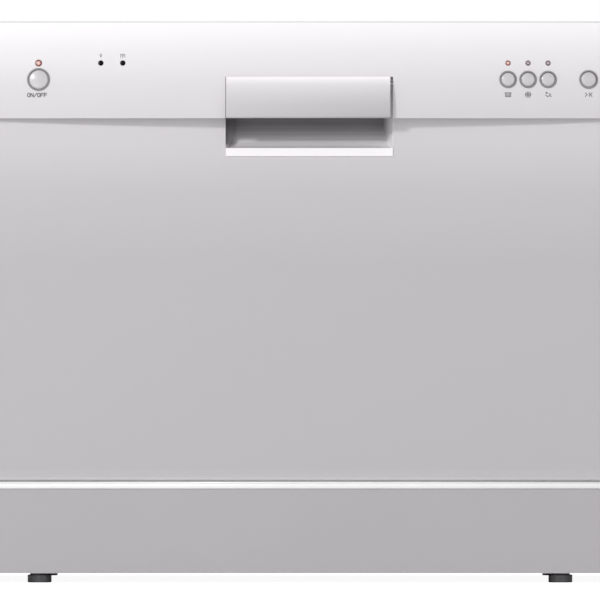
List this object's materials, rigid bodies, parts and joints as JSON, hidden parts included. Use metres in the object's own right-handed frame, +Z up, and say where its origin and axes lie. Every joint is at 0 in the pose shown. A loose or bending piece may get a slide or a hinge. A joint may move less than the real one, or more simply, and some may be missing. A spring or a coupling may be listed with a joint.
{
  "type": "countertop dishwasher",
  "caption": "Low countertop dishwasher with a drop-down silver door, a bowed white control panel, a handle with a finger recess, a wire rack on wheels, and short black feet.",
  "frame": {"origin": "on the worktop, under the middle of the machine", "axes": "+X to the right of someone facing the door, the door faces -Y, +Z up"},
  "size_m": [0.55, 0.5, 0.438],
  "materials": {
    "cabinet_white": "satin white enamel on sheet steel",
    "plinth_grey": "satin grey enamel on sheet steel",
    "door_silver": "smooth silver-grey enamel",
    "rear_grey": "plain galvanised and painted sheet",
    "white_gloss": "glossy white moulded plastic",
    "handle_silver": "smooth silver-white moulding",
    "button_silver": "silver lacquered plastic",
    "bezel_grey": "darker grey lacquered plastic",
    "lens_red": "translucent coloured lenses",
    "stainless": "brushed stainless steel",
    "zinc": "zinc-plated steel",
    "black_plastic": "fine-grained black plastic",
    "dark_plastic": "matte dark grey plastic",
    "grey_plastic": "satin grey plastic",
    "pale_plastic": "matte off-white plastic",
    "rubber_black": "black rubber",
    "rubber_grey": "dark grey rubber",
    "rack_coating": "grey vinyl-coated steel wire",
    "board_green": "circuit board with solder mask",
    "cap_blue": "blue-grey plastic"
  },
  "bodies": {
    "cabinet": {"base_tray": "dark_plastic", "kick_panel": "plinth_grey", "plinth_trim": "white_gloss", "front_rail": "zinc", "top_panel": "cabinet_white", "left_side_panel": "cabinet_white", "right_side_panel": "cabinet_white", "rear_panel": "rear_grey", "cabinet_screws": "zinc", "rubber_feet": "rubber_black", "tub": "stainless", "tub_seal": "rubber_grey", "hinge_brackets": "zinc", "door_springs": "zinc", "door_strike": "zinc", "sump": "dark_plastic", "spray_post": "grey_plastic", "coarse_filter": "stainless", "wash_pump": "dark_plastic", "water_heater": "zinc", "drain_pump": "dark_plastic", "drain_hose": "rubber_grey", "drain_connector": "pale_plastic", "inlet_valve": "pale_plastic", "inlet_connector": "pale_plastic", "fill_hose": "rubber_grey", "air_break": "pale_plastic", "softener": "pale_plastic", "power_gland": "black_plastic"},
    "door": {"outer_door_panel": "door_silver", "inner_door_liner": "stainless", "door_hinge_arms": "zinc", "door_seal_strip": "rubber_grey", "control_fascia": "white_gloss", "control_boards": "board_green", "button_bezels": "bezel_grey", "indicator_lenses": "lens_red", "handle_cup": "white_gloss", "handle_pin": "zinc", "latch_housing": "dark_plastic", "dispenser": "grey_plastic"},
    "handle": {"handle_plate": "handle_silver"},
    "latch_claw": {"latch_claw": "pale_plastic"},
    "power_button": {"power_button": "button_silver"},
    "program_button_1": {"program_button_1": "button_silver"},
    "program_button_2": {"program_button_2": "button_silver"},
    "program_button_3": {"program_button_3": "button_silver"},
    "start_button": {"start_button": "button_silver"},
    "dispenser_lid": {"dispenser_lid": "grey_plastic"},
    "rinse_aid_cap": {"rinse_aid_cap": "cap_blue"},
    "salt_cap": {"salt_cap": "pale_plastic"},
    "fine_filter": {"fine_filter": "grey_plastic"},
    "spray_arm": {"spray_arm": "stainless"},
    "rack": {"dish_rack": "rack_coating"},
    "cup_shelf": {"cup_shelf": "rack_coating"},
    "cutlery_basket": {"cutlery_basket": "grey_plastic"},
    "front_left_wheel": {"front_left_wheel": "grey_plastic"},
    "front_right_wheel": {"front_right_wheel": "grey_plastic"},
    "rear_left_wheel": {"rear_left_wheel": "grey_plastic"},
    "rear_right_wheel": {"rear_right_wheel": "grey_plastic"}
  },
  "joints": [
    {"name": "door_hinge", "type": "hinge", "parent": "cabinet", "child": "door", "pos_m": [0, -0.2197, 0.0875], "axis": [1, 0, 0], "range_deg": [0, 90], "deforming": ["door_springs"]},
    {"name": "rack_slide", "type": "slide", "parent": "cabinet", "child": "rack", "axis": [0, -1, 0], "range_m": [0, 0.1446]},
    {"name": "handle_pull", "type": "hinge", "parent": "door", "child": "handle", "pos_m": [0.0072, -0.236, 0.3888], "axis": [-1, 0, 0], "range_deg": [0, 12], "stiffness_Nm_per_rad": 0.4},
    {"name": "latch_lift", "type": "hinge", "parent": "door", "child": "latch_claw", "pos_m": [0.0072, -0.203, 0.414], "axis": [1, 0, 0], "range_deg": [0, 24]},
    {"name": "spray_arm_spin", "type": "hinge", "parent": "cabinet", "child": "spray_arm", "pos_m": [0, 0.021, 0.121], "axis": [0, 0, 1], "continuous": true},
    {"name": "fine_filter_twist", "type": "hinge", "parent": "cabinet", "child": "fine_filter", "pos_m": [0, -0.028, 0.101], "axis": [0, 0, 1], "range_deg": [0, 60]},
    {"name": "salt_cap_turn", "type": "hinge", "parent": "cabinet", "child": "salt_cap", "pos_m": [-0.028, -0.13, 0.101], "axis": [0, 0, 1], "range_deg": [0, 90]},
    {"name": "dispenser_lid_slide", "type": "slide", "parent": "door", "child": "dispenser_lid", "axis": [1, 0, 0], "range_m": [0, 0.042]},
    {"name": "rinse_aid_cap_turn", "type": "hinge", "parent": "door", "child": "rinse_aid_cap", "pos_m": [0.044, -0.179, 0.2915], "axis": [0, 1, 0], "range_deg": [0, 90]},
    {"name": "cup_shelf_fold", "type": "hinge", "parent": "rack", "child": "cup_shelf", "pos_m": [-0.22276, 0, 0.22994], "axis": [0, -1, 0], "range_deg": [0, 85]},
    {"name": "cutlery_basket_lift", "type": "slide", "parent": "rack", "child": "cutlery_basket", "axis": [0, 0, 1], "range_m": [0, 0.08]},
    {"name": "front_left_wheel_roll", "type": "hinge", "parent": "rack", "child": "front_left_wheel", "pos_m": [-0.2362, -0.09, 0.1353], "axis": [1, 0, 0], "range_deg": [0, 600]},
    {"name": "front_right_wheel_roll", "type": "hinge", "parent": "rack", "child": "front_right_wheel", "pos_m": [0.2362, -0.09, 0.1353], "axis": [1, 0, 0], "range_deg": [0, 600]},
    {"name": "rear_left_wheel_roll", "type": "hinge", "parent": "rack", "child": "rear_left_wheel", "pos_m": [-0.2362, 0.134, 0.1353], "axis": [1, 0, 0], "range_deg": [0, 600]},
    {"name": "rear_right_wheel_roll", "type": "hinge", "parent": "rack", "child": "rear_right_wheel", "pos_m": [0.2362, 0.134, 0.1353], "axis": [1, 0, 0], "range_deg": [0, 600]},
    {"name": "power_button_press", "type": "slide", "parent": "door", "child": "power_button", "axis": [0.0747, 0.9899, -0.1208], "range_m": [0, 0.002], "stiffness_N_per_m": 600},
    {"name": "program_button_1_press", "type": "slide", "parent": "door", "child": "program_button_1", "axis": [-0.0594, 0.9909, -0.1208], "range_m": [0, 0.002], "stiffness_N_per_m": 600},
    {"name": "program_button_2_press", "type": "slide", "parent": "door", "child": "program_button_2", "axis": [-0.0651, 0.9905, -0.1208], "range_m": [0, 0.002], "stiffness_N_per_m": 600},
    {"name": "program_button_3_press", "type": "slide", "parent": "door", "child": "program_button_3", "axis": [-0.0709, 0.9901, -0.1208], "range_m": [0, 0.002], "stiffness_N_per_m": 600},
    {"name": "start_button_press", "type": "slide", "parent": "door", "child": "start_button", "axis": [-0.0825, 0.9892, -0.1208], "range_m": [0, 0.002], "stiffness_N_per_m": 600}
  ],
  "couplings": [
    {"joint": "rack_slide", "follows": "door_hinge", "m_per_rad": 0.092},
    {"joint": "latch_lift", "follows": "handle_pull", "ratio": 2},
    {"joint": "front_left_wheel_roll", "follows": "door_hinge", "ratio": 6.5714},
    {"joint": "front_right_wheel_roll", "follows": "door_hinge", "ratio": 6.5714},
    {"joint": "rear_left_wheel_roll", "follows": "door_hinge", "ratio": 6.5714},
    {"joint": "rear_right_wheel_roll", "follows": "door_hinge", "ratio": 6.5714}
  ]
}
